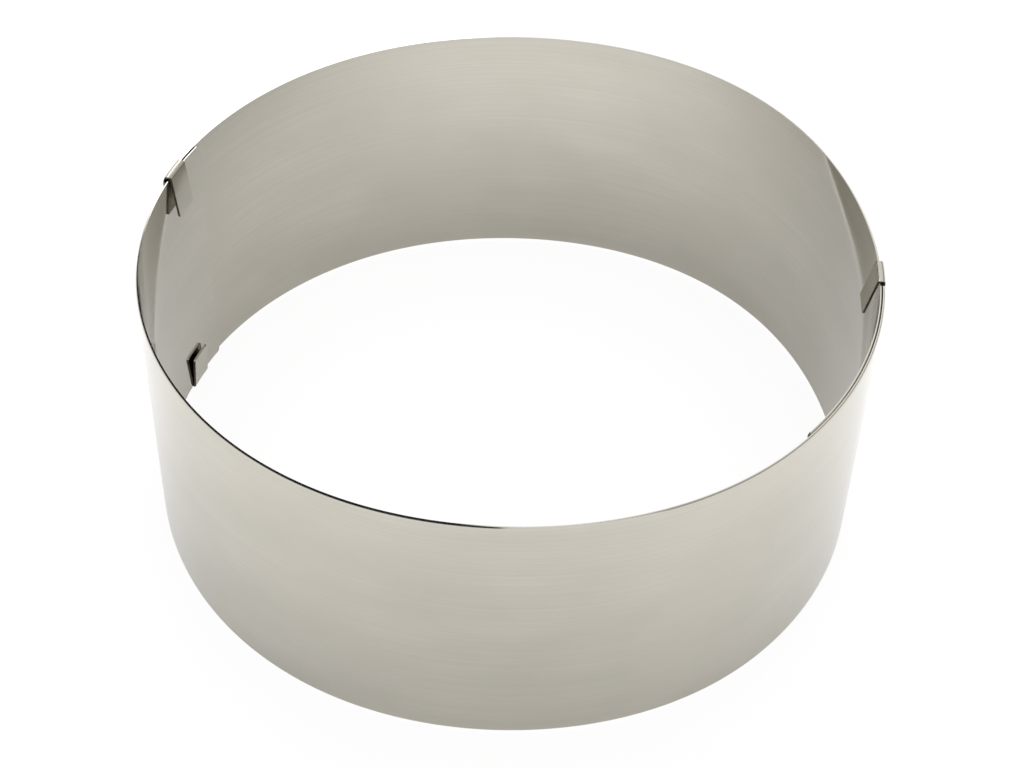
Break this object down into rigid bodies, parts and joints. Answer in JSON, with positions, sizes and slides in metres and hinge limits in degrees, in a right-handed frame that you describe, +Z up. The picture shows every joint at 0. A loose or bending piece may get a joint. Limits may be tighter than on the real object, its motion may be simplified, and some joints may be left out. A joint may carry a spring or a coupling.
{
  "type": "adjustable cake ring",
  "caption": "Adjustable cake ring of sheet steel strips, lapped at both ends and held by lugs folded over each other's edges.",
  "frame": {"origin": "on the ring's axis, level with the undersides of the bottom lugs, which it stands on", "axes": "+Z up along the ring's axis, +X towards the front band's lugs, +Y towards the back, where the rear band is"},
  "size_m": [0.2129, 0.213, 0.0868],
  "materials": {
    "front_band_steel": "cold-rolled stainless sheet, fine satin grain along the strip, bright at low angles",
    "rear_band_steel": "cold-rolled stainless sheet, fine satin grain along the strip, bright at low angles"
  },
  "bodies": {
    "rear": {"rear_band": "rear_band_steel"},
    "front": {"front_band": "front_band_steel"}
  },
  "joints": [
    {"name": "band_slide", "type": "hinge", "parent": "rear", "child": "front", "pos_m": [0, 0, 0.0434], "axis": [0, 0, 1], "range_deg": [-36, 4.8]}
  ]
}
